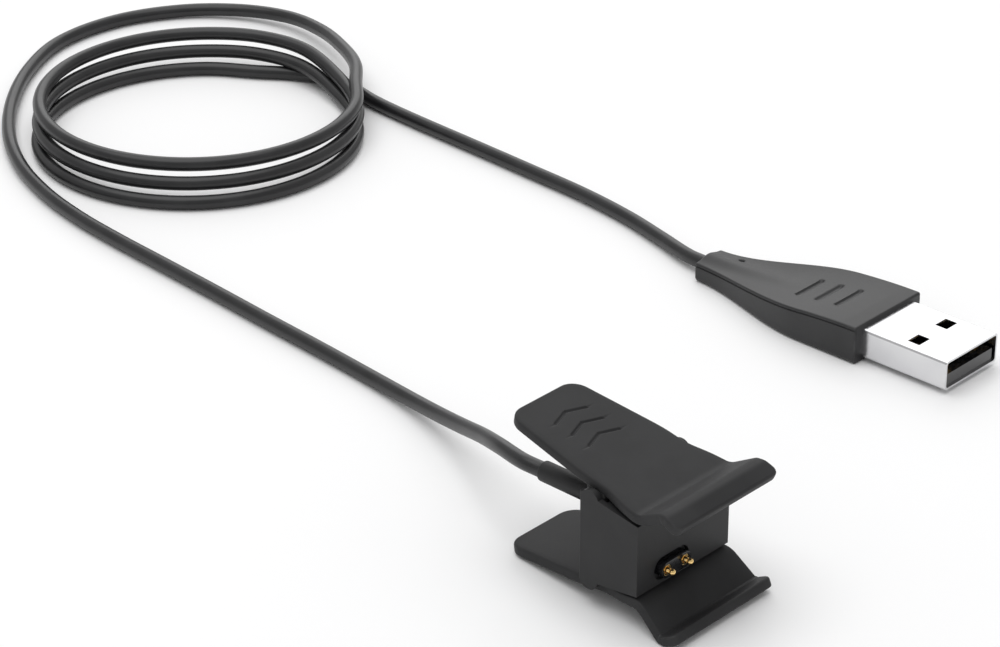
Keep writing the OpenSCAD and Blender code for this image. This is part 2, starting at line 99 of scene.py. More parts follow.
plugRun = [
    (79.9, 124.5, 1.15), (79.3, 119, 1.15), (78.8, 111, 1.15), (78.3, 100, 1.15), (77.7, 88, 1.15),
    (77, 76, 1.15), (75.6, 66, 1.15), (73.5, 57.5, 1.25), (71.4, 50.5, 1.55), (71, 46.5, 1.7),
    (71, 45, 1.7),
]


def easeBetween(value, low, high):
    share = min(max((value - low) / (high - low), 0), 1)
    return share * share * (3 - 2 * share)


def coilPoints(sizes):
    # clockwise from above: turn by turn the cord steps down at the plug's side
    points = []
    step = 360 / sizes["pointsPerTurn"]
    angle = sizes["firstAngle"]
    while angle > -360 * sizes["turns"] + sizes["lastShort"]:
        level = 0
        for turn in range(1, sizes["turns"]):
            start = sizes["dropFrom"] - 360 * turn
            finish = sizes["dropTo"] - 360 * turn
            level = level + easeBetween(-angle, -start, -finish)
        x = sizes["topCentre"][0] - sizes["lean"][0] * level
        y = sizes["topCentre"][1] - sizes["lean"][1] * level
        z = sizes["topHeight"] - sizes["diameter"] * level
        across = sizes["ringRadius"] * math.cos(math.radians(angle))
        along = sizes["ringRadius"] * math.sin(math.radians(angle))
        points.append((x + across, y + along, z))
        angle = angle - step
    return points


def makeCord(sizes, points):
    data = bpy.data.curves.new("cord", "CURVE")
    data.dimensions = "3D"
    data.bevel_depth = 1      # times each point's radius, which also pads the curve's box
    data.bevel_resolution = 6
    data.resolution_u = 10
    data.use_fill_caps = True
    spline = data.splines.new("BEZIER")
    spline.bezier_points.add(len(points) - 1)
    spots = [Vector(p) * mm for p in points]
    for i, knot in enumerate(spline.bezier_points):
        before = spots[max(i - 1, 0)]
        after = spots[min(i + 1, len(spots) - 1)]
        along = (after - before).normalized()
        knot.handle_left_type = "FREE"
        knot.handle_right_type = "FREE"
        knot.co = spots[i]
        knot.radius = sizes["diameter"] / 2 * mm
        knot.handle_left = spots[i] - along * (spots[i] - before).length / 3
        knot.handle_right = spots[i] + along * (after - spots[i]).length / 3
    piece = bpy.data.objects.new("cord", data)
    bpy.context.scene.collection.objects.link(piece)
    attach(piece, "core")
    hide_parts("cord_clip_run", "cord_coil", "cord_plug_run")
    return piece


cordRoute = clipRun + coilPoints(cordSizes) + coilExit + plugRun
cord = makeCord(cordSizes, cordRoute)
print("cord laid with", len(cordRoute), "points")


# finishes

class Wire:
    # one socket; arithmetic on it adds Math nodes
    def __init__(self, finish, socket):
        self.finish = finish
        self.socket = socket

    def maths(self, operation, first, second):
        return self.finish.node("ShaderNodeMath", {"operation": operation}, {0: first, 1: second})

    def __add__(self, other):
        return self.maths("ADD", self, other)

    def __radd__(self, other):
        return self.maths("ADD", other, self)

    def __sub__(self, other):
        return self.maths("SUBTRACT", self, other)

    def __rsub__(self, other):
        return self.maths("SUBTRACT", other, self)

    def __mul__(self, other):
        return self.maths("MULTIPLY", self, other)

    def __rmul__(self, other):
        return self.maths("MULTIPLY", other, self)

    def clamped(self, low, high, toLow=0, toHigh=1):
        return self.finish.node(
            "ShaderNodeMapRange",
            {"clamp": True, "interpolation_type": "SMOOTHSTEP"},
            {"Value": self, "From Min": low, "From Max": high, "To Min": toLow, "To Max": toHigh},
        )


class Finish:
    # one material, with its nodes made through one method
    def __init__(self, name):
        self.material = bpy.data.materials.new(name)
        self.material.use_nodes = True
        self.tree = self.material.node_tree
        self.tree.nodes.clear()
        self.output = self.tree.nodes.new("ShaderNodeOutputMaterial")
        self.shader = self.tree.nodes.new("ShaderNodeBsdfPrincipled")
        self.tree.links.new(self.shader.outputs[0], self.output.inputs[0])

    def fill(self, node, values):
        for key, value in values.items():
            if isinstance(value, Wire):
                self.tree.links.new(value.socket, node.inputs[key])
            else:
                node.inputs[key].default_value = value

    def node(self, kind, settings=None, values=None, out=0):
        node = self.tree.nodes.new(kind)
        for key, value in (settings or {}).items():
            setattr(node, key, value)
        self.fill(node, values or {})
        return Wire(self, node.outputs[out])

    def place(self, stretch=(1, 1, 1)):
        spot = self.node("ShaderNodeTexCoord", out="Object")
        return self.node("ShaderNodeMapping", {}, {"Vector": spot, "Scale": stretch})

    def noise(self, scale, detail=3, stretch=(1, 1, 1), roughness=0.5):
        return self.node(
            "ShaderNodeTexNoise", {},
            {"Vector": self.place(stretch), "Scale": scale, "Detail": detail, "Roughness": roughness},
        )

    def blendColours(self, factor, first, second):
        return self.node(
            "ShaderNodeMix", {"data_type": "RGBA"}, {0: factor, 6: (*first, 1), 7: (*second, 1)}, out=2
        )

    def bump(self, height, strength, distance):
        return self.node(
            "ShaderNodeBump", {}, {"Height": height, "Strength": strength, "Distance": distance}
        )

    def edges(self, low, high):
        return self.node("ShaderNodeNewGeometry", out="Pointiness").clamped(low, high)

    def set(self, **values):
        names = {
            "colour": "Base Color", "roughness": "Roughness", "metallic": "Metallic", "normal": "Normal",
            "coat": "Coat Weight", "coatRoughness": "Coat Roughness", "specular": "Specular IOR Level",
        }
        self.fill(self.shader, {names[key]: value for key, value in values.items()})
        return self.material


def mouldedPlastic(name, dark, light, wornAndHighlightEdge, grainSize, grainDepth, roughness, specular):
    # satin moulded surface: fine spark texture, faint cloudiness; a paler edge colour on finely divided
    # pieces is wear together with a painted edge highlight
    f = Finish(name)
    cloud = f.noise(140, 4)
    grain = f.noise(1 / grainSize, 3, roughness=0.65)
    colour = f.blendColours(cloud.clamped(0.35, 0.65), dark, light)
    if wornAndHighlightEdge:
        # painted highlight, partly wear: pointiness pales the edges toward the edge tone
        edge = f.edges(0.515, 0.60) * 0.55
        colour = f.node("ShaderNodeMix", {"data_type": "RGBA"}, {0: edge, 6: colour, 7: (*wornAndHighlightEdge, 1)}, out=2)
    f.set(
        colour=colour,
        roughness=roughness + (cloud - 0.5) * 0.12 + (grain - 0.5) * 0.14,
        normal=f.bump(grain, 0.35, grainDepth),
        specular=specular,
    )
    return f.material


def brightMetal(name, base, tint, roughness, brushed, scratchDepth):
    f = Finish(name)
    lines = f.noise(1, 4, stretch=brushed, roughness=0.6)
    smears = f.noise(160, 3)
    colour = f.blendColours(smears.clamped(0.3, 0.75), base, tint)
    f.set(
        colour=colour,
        metallic=1.0,
        roughness=roughness + (lines - 0.5) * 0.12 + (smears - 0.5) * 0.1,
        normal=f.bump(lines, 0.25, scratchDepth),
    )
    return f.material


def cordJacket(name):
    # smooth drawn jacket: long faint ripples from the extruder, dust-fine grain
    f = Finish(name)
    cloud = f.noise(220, 4)
    grain = f.noise(7000, 2)
    colour = f.blendColours(cloud.clamped(0.3, 0.7), (0.011, 0.011, 0.0117), (0.018, 0.018, 0.019))
    f.set(
        colour=colour,
        roughness=0.33 + (cloud - 0.5) * 0.14 + (grain - 0.5) * 0.08,
        normal=f.bump(grain + cloud * 2.0, 0.22, 0.00002),
        specular=0.5,
    )
    return f.material


def glossyBlack(name):
    f = Finish(name)
    cloud = f.noise(500, 3)
    f.set(
        colour=f.blendColours(cloud.clamped(0.35, 0.65), (0.008, 0.008, 0.009), (0.016, 0.016, 0.018)),
        roughness=0.14 + (cloud - 0.5) * 0.1,
        normal=f.bump(cloud, 0.1, 0.00001),
        coat=0.4,
        coatRoughness=0.1,
    )
    return f.material


def circuitBoard(name):
    f = Finish(name)
    tracks = f.node(
        "ShaderNodeTexVoronoi", {"feature": "DISTANCE_TO_EDGE"}, {"Vector": f.place(), "Scale": 1400}
    )
    f.set(
        colour=f.blendColours(tracks.clamped(0.04, 0.1), (0.10, 0.30, 0.12), (0.02, 0.14, 0.05)),
        roughness=0.3 + tracks * 0.3,
        normal=f.bump(tracks, 0.2, 0.00002),
    )
    return f.material


def wireSleeve(name, base, tint):
    f = Finish(name)
    cloud = f.noise(900, 3)
    f.set(
        colour=f.blendColours(cloud.clamped(0.35, 0.65), base, tint),
        roughness=0.35 + (cloud - 0.5) * 0.2,
        normal=f.bump(cloud, 0.15, 0.00002),
    )
    return f.material


# plastics: dark and light tone, edge tone for wear and painted edge highlight, grain size and depth in
# metres, roughness, specular level
# metals: two tones, roughness, brushing along each axis, scratch depth in metres
finishes = {
    "housing": mouldedPlastic(
        "housingSatin", (0.018, 0.018, 0.0187), (0.023, 0.023, 0.0238), None, 0.00016, 0.00002, 0.46, 0.28
    ),
    "jaw": mouldedPlastic(
        "jawSatin", (0.026, 0.026, 0.0268), (0.032, 0.032, 0.033), (0.11, 0.11, 0.111),
        0.00016, 0.00002, 0.52, 0.14,
    ),
    "mould": mouldedPlastic(
        "mouldSatin", (0.021, 0.021, 0.0218), (0.029, 0.029, 0.030), (0.06, 0.06, 0.061),
        0.00022, 0.00003, 0.42, 0.36,
    ),
    "sleeve": mouldedPlastic(
        "sleeveRubber", (0.015, 0.015, 0.0156), (0.021, 0.021, 0.0217), None, 0.00018, 0.00002, 0.5, 0.34
    ),
    "carrier": glossyBlack("islandGloss"),
    "gold": brightMetal(
        "goldPlate", (1.0, 0.74, 0.34), (0.93, 0.60, 0.22), 0.16, (2500, 2500, 2500), 0.000004
    ),
    "spring": brightMetal(
        "drawnSteel", (0.36, 0.36, 0.375), (0.46, 0.46, 0.47), 0.3, (4000, 900, 4000), 0.000004
    ),
    "shell": brightMetal(
        "nickelShell", (0.72, 0.72, 0.73), (0.66, 0.66, 0.675), 0.22, (5000, 260, 5000), 0.000003
    ),
    "cord": cordJacket("cordJacket"),
    "board": circuitBoard("solderMask"),
    "red": wireSleeve("redSleeve", (0.45, 0.02, 0.015), (0.6, 0.05, 0.03)),
    "black": wireSleeve("blackSleeve", (0.012, 0.012, 0.012), (0.03, 0.03, 0.03)),
}
cord.data.materials.append(finishes["cord"])
print("finishes mixed:", len(finishes))


# mesh helpers

meshSettings = {
    "weld": 0.002, "fineWeld": 0.001,      # points closer than this are one
    "flatAngle": 0.6, "sharpAngle": 38,    # degrees between two faces
    "largeFace": 0.8,                      # a face as large as this square stays flat
}


def pieceFromMesh(name, data, body, finish, replaced, sharp=34, flatFaces=False):
    data.materials.clear()
    data.materials.append(finishes[finish])
    data.shade_smooth()
    data.set_sharp_from_angle(angle=math.radians(sharp))
    piece = bpy.data.objects.new(name, data)
    bpy.context.scene.collection.objects.link(piece)
    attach(piece, body)
    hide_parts(*replaced)
    if flatFaces:
        setFaceNormals(data, sharp)
    return piece


def setFaceNormals(data, sharp):
    # a corner takes the normal of the largest face near its own direction, so flat faces stay
    # flat and only the roundings turn
    large = (meshSettings["largeFace"] * mm) ** 2
    limit = math.cos(math.radians(sharp))
    around = [[] for _ in data.vertices]
    for face in data.polygons:
        for v in face.vertices:
            around[v].append(face)
    normals = []
    for face in data.polygons:
        for v in face.vertices:
            near = [other for other in around[v] if other.normal.dot(face.normal) > limit]
            biggest = max(near, key=lambda other: other.area)
            total = Vector((0, 0, 0))
            for other in near:
                total = total + other.normal * other.area
            normals.append((biggest.normal if biggest.area > large else total).normalized())
    # a large face stays flat, so no corner of it takes on its neighbours' slope
    for face in data.polygons:
        face.use_smooth = face.area <= large
    data.normals_split_custom_set(normals)


def meshOf(name, points, faces):
    data = bpy.data.meshes.new(name)
    data.from_pydata([Vector(p) * mm for p in points], [], faces)
    work = bmesh.new()
    work.from_mesh(data)
    bmesh.ops.remove_doubles(work, verts=work.verts, dist=meshSettings["weld"] * mm)
    bmesh.ops.recalc_face_normals(work, faces=work.faces)
    work.to_mesh(data)
    work.free()
    return data


def softened(node, name, rounding, shortest, special=()):
    # the node's own shape with its long sharp edges rounded over
    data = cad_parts[node].data.copy()
    data.name = name
    work = bmesh.new()
    work.from_mesh(data)
    bmesh.ops.remove_doubles(work, verts=work.verts, dist=meshSettings["fineWeld"] * mm)
    bmesh.ops.dissolve_limit(
        work, angle_limit=math.radians(meshSettings["flatAngle"]), use_dissolve_boundaries=False,
        verts=work.verts, edges=work.edges,
    )
    sharpest = math.radians(meshSettings["sharpAngle"])

    def sharpEdges():
        return [e for e in work.edges if len(e.link_faces) == 2 and e.calc_face_angle() > sharpest]

    for test, width in special:
        chosen = [e for e in sharpEdges() if test(*[v.co / mm for v in e.verts])]
        bmesh.ops.bevel(
            work, geom=chosen, offset=width * mm, offset_type="OFFSET", segments=6, profile=0.5,
            affect="EDGES", clamp_overlap=True,
        )
    chosen = [e for e in sharpEdges() if e.calc_length() > shortest * mm]
    bmesh.ops.bevel(
        work, geom=chosen, offset=rounding * mm, offset_type="OFFSET", segments=3, profile=0.5,
        affect="EDGES", clamp_overlap=True,
    )
    work.to_mesh(data)
    work.free()
    return data


def arcPoints(x, y, radius, first, last, steps):
    # points on an arc between two angles, both ends with it
    out = []
    for k in range(steps + 1):
        a = math.radians(first + (last - first) * k / steps)
        out.append((x + radius * math.cos(a), y + radius * math.sin(a)))
    return out


def bandFaces(start, rows, size):
    # four-sided faces between closed rows of points that follow each other
    faces = []
    for i in range(rows - 1):
        near, far = start + i * size, start + (i + 1) * size
        for k in range(size):
            n = (k + 1) % size
            faces.append((near + k, near + n, far + n, far + k))
    return faces


def turned(profile, x, z, around):
    # a lathe shape along Y: profile is (y, radius) from one end to the other
    points = []
    for y, radius in profile:
        for k in range(around):
            turn = 2 * math.pi * k / around
            points.append((x + radius * math.cos(turn), y, z + radius * math.sin(turn)))
    faces = bandFaces(0, len(profile), around)
    faces.append(tuple(range(around)))
    faces.append(tuple(range((len(profile) - 1) * around, len(profile) * around)))
    return points, faces


def between(value, xs, ys):
    # straight-line interpolation, xs rising
    if value <= xs[0]:
        return ys[0] + (ys[1] - ys[0]) / (xs[1] - xs[0]) * (value - xs[0])
    for i in range(len(xs) - 1):
        if value <= xs[i + 1]:
            return ys[i] + (ys[i + 1] - ys[i]) * (value - xs[i]) / (xs[i + 1] - xs[i])
    return ys[-1] + (ys[-1] - ys[-2]) / (xs[-1] - xs[-2]) * (value - xs[-1])


# jaws

jawSizes = {
    "thickness": 1.4,
    "handleWidth": 12.8, "handleCorner": 2.6,
    "hookWidth": 19.3, "hookCorner": 0.9,
    "edgeRound": 0.34,
    "valleyHeight": 6.68, "valleyPlace": -8.4, "valleyBend": 0.8,
    "bulgePlace": -12.8, "bulgeFlat": 1.2, "bulgeBend": 0.35,
    "waist": 0.48, "waistPlace": -2.2, "waistLength": 2.6,
    "lugIn": 5.2, "lugWidth": 2.4, "lugRadius": 1.4,
    "lugDepth": 0.7,          # how far a lug reaches into the plate, as a share of its thickness
    "chevrons": 3, "chevronWidth": 5.8, "chevronPitch": 2.8, "chevronFirst": 11.3,
    "chevronDepth": 0.2, "chevronStroke": 0.25, "chevronField": (3.5, 12.4),
}
# heights above the clip's middle plane
upperHeights = {"handle": 10.7, "bulge": 8.75, "tip": 7.8}
lowerHeights = {"handle": 9.7, "bulge": 9.7, "tip": 8.7}
# how finely a jaw is divided; rows are (first, last, step) along Y
jawGrid = {
    "endLast": 12.2, "endStep": 0.4,
    "chevronRows": (12.1, 3.9, 0.11),
    "middleRows": (3.5, -7.2, 0.5),
    "bendFirst": -7.4, "bendStep": 0.16, "bendMargin": 0.2,
    "fineHalf": 3.08, "fineStep": 0.11, "outerSteps": 5, "evenBelow": 3.4,
    "handleSteps": 12, "hookSteps": 6, "rimSteps": 4, "lugSteps": 16,
    "slopeReach": 0.15,
}


def bendPoints(before, corner, after, reach, steps=10):
    a, p, b = Vector(before), Vector(corner), Vector(after)
    start = p + (a - p).normalized() * reach
    finish = p + (b - p).normalized() * reach
    out = []
    for i in range(steps + 1):
        t = i / steps
        spot = start * (1 - t) ** 2 + p * 2 * t * (1 - t) + finish * t ** 2
        out.append((spot.x, spot.y))
    return out


def jawLine(sizes, handleEnd, hookEnd, heights):
    # the outer line as (y, height), from handle to hook tip
    handle = (handleEnd, heights["handle"])
    valley = (sizes["valleyPlace"], sizes["valleyHeight"])
    bulgeBack = (sizes["bulgePlace"] + sizes["bulgeFlat"] / 2, heights["bulge"])
    bulgeFront = (sizes["bulgePlace"] - sizes["bulgeFlat"] / 2, heights["bulge"])
    tip = (hookEnd, heights["tip"])
    line = [handle]
    line += bendPoints(handle, valley, bulgeBack, sizes["valleyBend"])
    line += bendPoints(valley, bulgeBack, bulgeFront, sizes["bulgeBend"], 5)
    line += bendPoints(bulgeBack, bulgeFront, tip, sizes["bulgeBend"], 5)
    return line + [tip]


def chevronDip(sizes, x, y):
    dip = 0
    arm, stroke = sizes["chevronWidth"] / 2, sizes["chevronStroke"]
    for i in range(sizes["chevrons"]):
        apex = sizes["chevronFirst"] - sizes["chevronPitch"] * i
        away = abs(y - (apex - abs(x) / 3)) * 0.95       # square to an arm that falls 1 in 3
        away = math.hypot(away, max(abs(x) - arm, 0))
        dip = max(dip, 1 - easeBetween(away, stroke * 0.35, stroke * 1.1))
    return dip * sizes["chevronDepth"]


def jawStations(sizes, grid, handleEnd, hookEnd):
    # from the handle's end to the hook's tip: each gives (half width, y) for an inset
    handleHalf, hookHalf = sizes["handleWidth"] / 2, sizes["hookWidth"] / 2
    handleRound, hookRound = sizes["handleCorner"], sizes["hookCorner"]
    handleY, hookY = handleEnd - handleRound, hookEnd + hookRound
    taper = math.atan2(hookHalf - handleHalf, handleY - hookY)

    def onArc(x, y, radius, angle):
        turnX, turnY = math.cos(angle), math.sin(angle)
        return lambda inset: (x + (radius - inset) * turnX, y + (radius - inset) * turnY)

    top = onArc(handleHalf - handleRound, handleY, handleRound, taper)(0)
    low = onArc(hookHalf - hookRound, hookY, hookRound, taper)(0)

    def onSide(y):
        # the straight tapering side between the two corners, drawn in at the waist
        waist = sizes["waist"] * math.exp(-((y - sizes["waistPlace"]) / sizes["waistLength"]) ** 2)
        half = top[0] + (low[0] - top[0]) * (top[1] - y) / (top[1] - low[1]) - waist
        return lambda inset: (half - inset, y)

    quarter = math.radians(90)
    stations = []
    for k in range(grid["handleSteps"] + 1):
        angle = quarter + (taper - quarter) * k / grid["handleSteps"]
        stations.append(onArc(handleHalf - handleRound, handleY, handleRound, angle))
    bands = [
        (handleY - grid["endStep"], grid["endLast"], grid["endStep"]),
        grid["chevronRows"],
        grid["middleRows"],
        (grid["bendFirst"], hookY + grid["bendMargin"], grid["bendStep"]),
    ]
    for first, last, step in bands:
        y = first
        while y >= last - 1e-6:
            stations.append(onSide(y))
            y = y - step
    for k in range(grid["hookSteps"] + 1):
        angle = taper + (-quarter - taper) * k / grid["hookSteps"]
        stations.append(onArc(hookHalf - hookRound, hookY, hookRound, angle))
    return stations


def jawColumns(grid, half):
    # places across one row, close together in the middle where the chevrons are
    fineHalf, outer = grid["fineHalf"], grid["outerSteps"]
    fineCount = round(2 * fineHalf / grid["fineStep"]) + 1
    count = fineCount + 2 * outer
    if half < grid["evenBelow"]:
        return [-half + 2 * half * i / (count - 1) for i in range(count)]
    left = [-half + (half - fineHalf) * i / outer for i in range(outer)]
    fine = [i * grid["fineStep"] - fineHalf for i in range(fineCount)]
    return left + fine + [-x for x in reversed(left)]


def jawRim(sizes, grid):
    # (inset, depth) around the plate's rounded edge, from the outer face to the inner one
    edge = sizes["edgeRound"]
    rim = []
    for k in range(grid["rimSteps"] + 1):
        a = math.radians(90 * k / grid["rimSteps"])
        rim.append((edge * (1 - math.sin(a)), edge * (1 - math.cos(a))))
    return rim + [(inset, sizes["thickness"] - depth) for inset, depth in reversed(rim)]


def jawMesh(name, pivotNode, sizes, grid, side, heights, middle):
    hookEnd, handleEnd = [corner.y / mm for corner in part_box(name)]
    line = jawLine(sizes, handleEnd, hookEnd, heights)
    ys = [p[0] for p in reversed(line)]
    hs = [p[1] for p in reversed(line)]
    stations = jawStations(sizes, grid, handleEnd, hookEnd)
    rim = jawRim(sizes, grid)
    points, faces = [], []

    def height(y):
        return between(y, ys, hs)

    def spot(x, y, depth):
        reach = grid["slopeReach"]
        slope = (height(y + reach) - height(y - reach)) / (2 * reach)
        length = math.hypot(1, slope)
        return (x, y + slope / length * depth, middle + side * (height(y) - depth / length))

    # outer and inner faces as grids
    fieldLow, fieldHigh = sizes["chevronField"]
    for (inset, depth), dips in ((rim[0], True), (rim[-1], False)):
        start = len(points)
        for station in stations:
            half, y = station(inset)
            for x in jawColumns(grid, half):
                dip = chevronDip(sizes, x, y) if dips and fieldLow < y < fieldHigh else 0
                points.append(spot(x, y, depth + dip))
        count = (len(points) - start) // len(stations)
        for i in range(len(stations) - 1):
            for k in range(count - 1):
                a = start + i * count + k
                faces.append((a, a + 1, a + count + 1, a + count))

    # rounded rim: left side, tip edge, right side, handle edge
    loops = []
    for inset, depth in rim:
        outline = [station(inset) for station in stations]
        tipHalf, tipY = outline[-1]
        endHalf, endY = outline[0]
        loop = [(-half, y) for half, y in outline]
        loop += [(x, tipY) for x in jawColumns(grid, tipHalf)[1:-1]]
        loop += reversed(outline)
        loop += [(x, endY) for x in reversed(jawColumns(grid, endHalf)[1:-1])]
        loops.append([spot(x, y, depth) for x, y in loop])
    base, size = len(points), len(loops[0])
    for loop in loops:
        points.extend(loop)
    faces.extend(bandFaces(base, len(loops), size))

    # lugs that reach down to the pivot pin
    pinLow, pinHigh = [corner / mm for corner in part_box(pivotNode)]
    pivotY = (pinLow.y + pinHigh.y) / 2
    pivotHeight = abs((pinLow.z + pinHigh.z) / 2 - middle)
    radius = sizes["lugRadius"]
    lift = height(pivotY) - sizes["thickness"] * sizes["lugDepth"]
    shape = arcPoints(pivotY, pivotHeight, radius, 180, 360, grid["lugSteps"])
    shape += [(pivotY + radius, lift), (pivotY - radius, lift)]
    for lugSide in (-1, 1):
        start, n = len(points), len(shape)
        for x in (sizes["lugIn"] * lugSide, (sizes["lugIn"] + sizes["lugWidth"]) * lugSide):
            points.extend((x, y, middle + side * h) for y, h in shape)
        faces.append(tuple(range(start, start + n)))
        faces.append(tuple(range(start + n, start + 2 * n)))
        faces.extend(bandFaces(start, 2, n))
    return meshOf(name + "Skin", points, faces)


middle = (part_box("strain_relief")[0].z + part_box("strain_relief")[1].z) / 2 / mm
for sideName, side, heights in (("upper", 1, upperHeights), ("lower", -1, lowerHeights)):
    node = sideName + "_jaw"
    skin = jawMesh(node, sideName + "_pivot_pin", jawSizes, jawGrid, side, heights, middle)
    pieceFromMesh(sideName + "JawPlate", skin, node, "jaw", [node])
print("jaws made")


# core

# an edge is rounded over only where it is longer than its piece's short edge
coreSizes = {
    "edgeRound": 0.2, "backRound": 0.9, "shortEdge": 0.55,
    "coverRound": 0.15, "coverShort": 0.9,
    "islandRound": 0.12, "islandShort": 0.0,
    "uprightOver": 5, "near": 0.05,        # what counts as an upright edge, and as on the corner
}
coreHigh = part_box("core_housing")[1] / mm


def backCorner(a, b):
    # the two long upright edges at the back of the core
    upright = abs(a.z - b.z) > coreSizes["uprightOver"]
    atBack = min(a.y, b.y) > coreHigh.y - coreSizes["near"]
    return upright and atBack and abs(abs(a.x) - coreHigh.x) < coreSizes["near"]


housing = softened("core_housing", "coreHousingSkin", coreSizes["edgeRound"], coreSizes["shortEdge"],
                   [(backCorner, coreSizes["backRound"])])
pieceFromMesh("coreHousing", housing, "core", "housing", ["core_housing"], 50, True)
cover = softened("core_rear_cover", "rearCoverSkin", coreSizes["coverRound"], coreSizes["coverShort"])
pieceFromMesh("rearCover", cover, "core", "housing", ["core_rear_cover"], 50, True)
island = softened(
    "contact_carrier", "contactIslandSkin", coreSizes["islandRound"], coreSizes["islandShort"]
)
pieceFromMesh("contactIsland", island, "core", "carrier", ["contact_carrier"], 50, True)
print("core made")


# contact pins and sleeve

pinSizes = {
    "stem": 0.76, "tip": 0.9, "collar": 1.04, "collarLength": 0.8,
    "waist": 0.86,            # the stem's narrowest place behind the ball, as a share of its width
    "waistBehind": 0.06, "waistLength": 0.08,
    "around": 40,
}
sleeveSizes = {
    "diameter": 2.9, "taper": 0.05, "lip": 0.35,
    "flange": 4.8, "flangeLength": 1, "bore": 0.4,
    "mouthRadius": 1.0, "mouthDepth": 0.25,
    "rows": 12, "lipRows": 8, "around": 64,
}


def pinProfile(front, back, sizes):
    # ball tip, waist, stem and collar, from the tip backward
    ball, stem, collar = sizes["tip"] / 2, sizes["stem"] / 2, sizes["collar"] / 2
    rows = arcPoints(front + ball, 0, ball, 172, 40, 14)
    waist = rows[-1][0] + sizes["waistBehind"]
    collarFront = back - sizes["collarLength"]
    rows += [(waist, stem * sizes["waist"]), (waist + sizes["waistLength"], stem), (collarFront, stem)]
    return rows + [(collarFront, collar), (back, collar)]


def sleeveProfile(front, back, sizes):
    # flange inside the core, long taper, rounded lip where the cord comes out
    radius, flange = sizes["diameter"] / 2, sizes["flange"] / 2
    lip, taper = sizes["lip"], sizes["taper"]
    start = front + sizes["flangeLength"]
    rows = [(front, sizes["bore"]), (front, flange), (start, flange), (start, radius)]
    for k in range(1, sizes["rows"] + 1):
        share = k / sizes["rows"]
        rows.append((start + (back - start - lip) * share, radius - taper * share))
    rows += arcPoints(back - lip, radius - taper - lip, lip, 90, 0, sizes["lipRows"])[1:]
    return rows + [(back - sizes["mouthDepth"], sizes["mouthRadius"])]


def turnedFrom(node, profile, sizes):
    # turned about the node's own middle line
    low, high = [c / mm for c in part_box(node)]
    rows = profile(low.y, high.y, sizes)
    return turned(rows, (low.x + high.x) / 2, (low.z + high.z) / 2, sizes["around"])


for sideName in ("left", "right"):
    node = "pin_plunger_" + sideName
    data = meshOf(node + "Skin", *turnedFrom(node, pinProfile, pinSizes))
    pieceFromMesh("ballPin" + sideName.capitalize(), data, sideName + "_pin", "gold", [node])

sleeveData = meshOf("sleeveSkin", *turnedFrom("strain_relief", sleeveProfile, sleeveSizes))
pieceFromMesh("cordSleeve", sleeveData, "core", "sleeve", ["strain_relief"])
print("pins and sleeve made")


# plug

mouldSizes = {
    "halfAtShell": 7.6, "halfAtNeck": 3.0,
    "heightAtShell": 5.8, "heightAtNeck": 3.4,
    "flareEnd": 0.68,
    "edgeRound": 0.3, "bottomRound": 0.7,
    "seam": ((0.04, 0), (0.14, 0.2), (0.26, 0.2), (0.4, 0)),     # below the deck's edge, inward
    "ridgeRadius": 1.9, "ridgeLift": 0.55, "ridgeEnd": 0.62, "ridgeShape": 1.4, "ridgeSink": 0.4,
    "scoop": 0.45, "scoopStart": 0.08, "scoopShape": 2.2,
    "gripBars": (7, 10.5, 14), "gripLength": 5.4, "gripWidth": 0.42, "gripDepth": 0.28,
    "dimple": (1.9, 28.1), "dimpleRadius": 0.5, "dimpleDepth": 0.5,
    "rowStep": 0.2, "deckSteps": 90, "wallSteps": 8, "bottomSteps": 12, "endSteps": 5,
}


def mouldHalf(sizes, s):
    widen = 1 - easeBetween(s, 1 - sizes["flareEnd"], 1)
    return sizes["halfAtNeck"] + (sizes["halfAtShell"] - sizes["halfAtNeck"]) * widen


def mouldTop(sizes, s, x, half, along):
    # deck height at a share s from shell to neck, x from the middle line
    fall = sizes["heightAtShell"] - sizes["heightAtNeck"]
    deck = sizes["heightAtNeck"] + fall * (1 - easeBetween(s, 0, 1))
    across = min(abs(x) / half, 1)
    lifted = easeBetween(s, 1 - sizes["ridgeEnd"], 1)
    ridge = sizes["ridgeLift"] * lifted * math.exp(-(x / sizes["ridgeRadius"]) ** 2 * sizes["ridgeShape"])
    scooped = min(max((s - sizes["scoopStart"]) / (1 - sizes["scoopStart"]), 0), 1)
    scoop = sizes["scoop"] * math.sin(math.pi * scooped) * (1 - across ** sizes["scoopShape"])
    top = deck - sizes["ridgeSink"] * lifted + ridge - scoop * (1 - 0.5 * lifted)
    width = sizes["gripWidth"]
    for bar in sizes["gripBars"]:
        away = math.hypot(max(abs(x) - sizes["gripLength"] / 2, 0), abs(along - bar))
        top = top - sizes["gripDepth"] * (1 - easeBetween(away, width * 0.6, width * 1.25))
    radius = sizes["dimpleRadius"]
    away = math.hypot(x - sizes["dimple"][0], along - sizes["dimple"][1])
    return top - sizes["dimpleDepth"] * (1 - easeBetween(away, radius * 0.4, radius))


def mouldStations(sizes, length):
    # (distance from the shell, inset) along the mould, rounded in at both ends
    edge, step, count = sizes["edgeRound"], sizes["rowStep"], sizes["endSteps"]
    ends = []
    for k in range(count + 1):
        a = math.radians(90 * k / count)
        ends.append((edge * (1 - math.sin(a)), edge * (1 - math.cos(a))))
    stations = list(reversed(ends))
    along = edge + step
    while along < length - edge - step / 4:
        stations.append((along, 0))
        along = along + step
    return stations + [(length - away, inset) for away, inset in ends]


